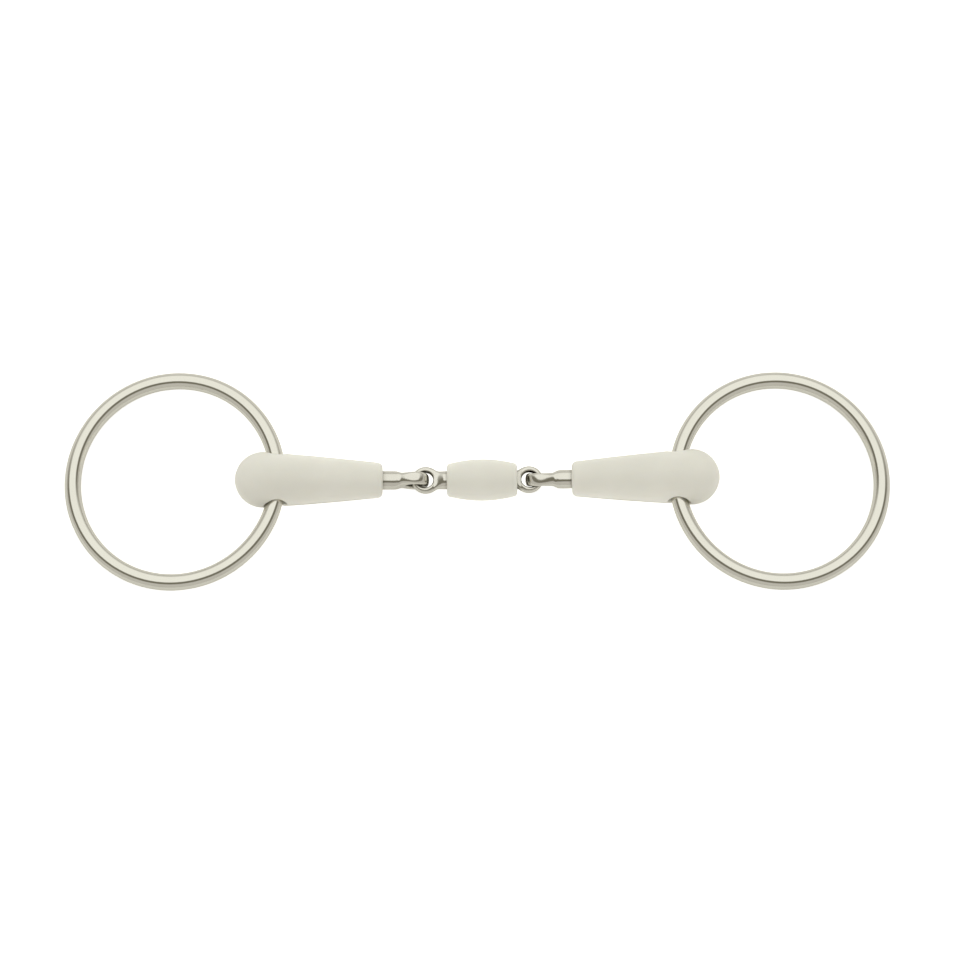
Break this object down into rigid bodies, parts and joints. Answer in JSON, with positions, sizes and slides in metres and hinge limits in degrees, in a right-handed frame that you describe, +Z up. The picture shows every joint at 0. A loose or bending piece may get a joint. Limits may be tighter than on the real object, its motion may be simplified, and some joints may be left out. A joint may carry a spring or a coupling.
{
  "type": "snaffle bit",
  "caption": "Loose-ring horse bit, double-jointed: tapered plastic mouthpiece arms on steel cores, a barrel on the middle link, and a round wire ring at each end.",
  "frame": {"origin": "on the surface that the bit lies on, under the middle of its bounding box", "axes": "+X along the mouthpiece, +Y across the lying rings, +Z up from the surface"},
  "size_m": [0.2736, 0.0752, 0.0184],
  "materials": {
    "mouth_plastic": "off-white, smooth, faintly frosted moulded plastic",
    "ring_steel": "mirror-polished stainless steel",
    "core_steel": "polished stainless steel, a little softer than the rings",
    "liner_steel": "turned stainless steel"
  },
  "bodies": {
    "link": {"link_core": "core_steel"},
    "barrel": {"barrel": "mouth_plastic"},
    "left_arm": {"left_core": "core_steel", "left_sleeve": "mouth_plastic"},
    "left_liner": {"left_liner": "liner_steel"},
    "left_ring": {"left_ring": "ring_steel"},
    "right_arm": {"right_core": "core_steel", "right_sleeve": "mouth_plastic"},
    "right_liner": {"right_liner": "liner_steel"},
    "right_ring": {"right_ring": "ring_steel"}
  },
  "joints": [
    {"name": "barrel_turn", "type": "hinge", "parent": "link", "child": "barrel", "pos_m": [0.00157, 0, 0.00685], "axis": [1, 0, 0], "continuous": true},
    {"name": "left_arm_fold", "type": "hinge", "parent": "link", "child": "left_arm", "pos_m": [-0.0208, 0, 0.00685], "axis": [0, 1, 0], "range_deg": [-95, 95]},
    {"name": "left_ring_swing", "type": "hinge", "parent": "left_arm", "child": "left_liner", "pos_m": [-0.06645, 0, 0.009], "axis": [0, -1, 0], "range_deg": [-160, 160]},
    {"name": "left_ring_run", "type": "hinge", "parent": "left_liner", "child": "left_ring", "pos_m": [-0.1, 0.0006, 0.0059], "axis": [-0.092, 0, 0.9958], "continuous": true},
    {"name": "right_arm_fold", "type": "hinge", "parent": "link", "child": "right_arm", "pos_m": [0.0208, 0, 0.00685], "axis": [0.0114, -0.9703, -0.2417], "range_deg": [-95, 95]},
    {"name": "right_ring_swing", "type": "hinge", "parent": "right_arm", "child": "right_liner", "pos_m": [0.06645, 0, 0.009], "axis": [0, 1, 0], "range_deg": [-160, 160]},
    {"name": "right_ring_run", "type": "hinge", "parent": "right_liner", "child": "right_ring", "pos_m": [0.1, -0.0006, 0.0059], "axis": [0.092, 0, 0.9958], "continuous": true}
  ]
}
